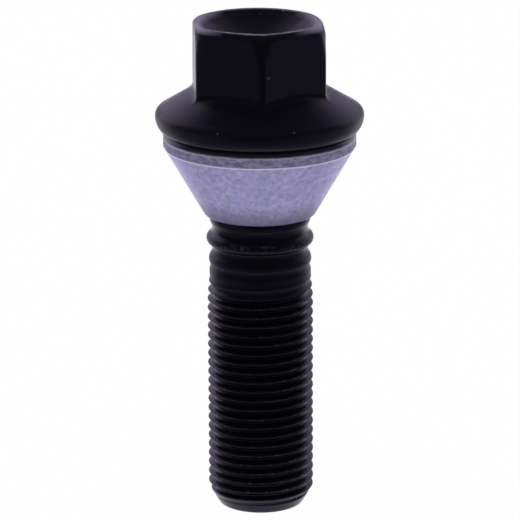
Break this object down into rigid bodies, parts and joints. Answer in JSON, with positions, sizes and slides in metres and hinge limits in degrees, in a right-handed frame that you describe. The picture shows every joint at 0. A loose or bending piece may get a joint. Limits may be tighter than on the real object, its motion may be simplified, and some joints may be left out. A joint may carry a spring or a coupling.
{
  "type": "wheel bolt",
  "caption": "Wheel bolt with a flanged hexagon head, a threaded shank and a captive conical collar that turns freely.",
  "frame": {"origin": "middle of the flat end of the threaded tip, on which the bolt stands", "axes": "+Z along the bolt's axis towards the head; a corner of the hexagon faces -Y, turned 3.5 degrees towards +X"},
  "size_m": [0.027, 0.027, 0.065],
  "materials": {
    "black_steel": "semi-gloss black coating over forged steel",
    "plain_steel": "turned steel, plain and slightly mottled, with a faint violet cast"
  },
  "bodies": {
    "bolt": {"bolt": "black_steel"},
    "collar": {"collar": "plain_steel"}
  },
  "joints": [
    {"name": "collar_spin", "type": "hinge", "parent": "bolt", "child": "collar", "pos_m": [0, 0, 0.045], "axis": [0, 0, 1], "continuous": true}
  ]
}
